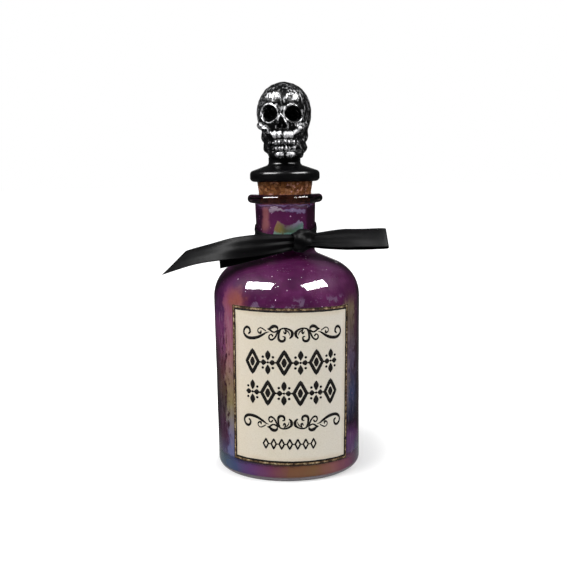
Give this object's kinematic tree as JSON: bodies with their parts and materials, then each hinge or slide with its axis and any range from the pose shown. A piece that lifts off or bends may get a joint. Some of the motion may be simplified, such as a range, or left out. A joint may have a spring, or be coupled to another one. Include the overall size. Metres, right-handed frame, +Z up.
{
  "type": "stoppered decorative bottle",
  "caption": "Round-shouldered purple glass apothecary bottle with a blank bordered paper label, a cork with a cast skull top, and a satin ribbon tied round its neck.",
  "frame": {"origin": "on the bottle's axis, in the plane of the foot ring that it stands on", "axes": "+Z up along the bottle's axis, -Y out through the label, +X towards the ribbon's loop"},
  "size_m": [0.1258, 0.083, 0.2168],
  "materials": {
    "purple_glass": "clear glass with a purple inner coat and a faint lustre outside",
    "label_paper": "matt aged paper",
    "cork": "matt agglomerate cork",
    "black_resin": "gloss black with silver dry-brushing on the skull",
    "black_satin": "satin ribbon"
  },
  "bodies": {
    "bottle": {"glass_bottle": "purple_glass", "paper_label": "label_paper"},
    "stopper": {"cork_stopper": "cork", "skull_topper": "black_resin"},
    "ribbon": {"ribbon_neck_band": "black_satin", "ribbon_knot": "black_satin", "ribbon_long_tail": "black_satin", "ribbon_short_tail": "black_satin", "ribbon_loop": "black_satin"}
  },
  "joints": [
    {"name": "stopper_lift", "type": "slide", "parent": "bottle", "child": "stopper", "axis": [0, 0, 1], "range_m": [0, 0.045]},
    {"name": "ribbon_turn", "type": "hinge", "parent": "bottle", "child": "ribbon", "pos_m": [0, 0, 0.131], "axis": [0, 0, 1], "continuous": true}
  ]
}
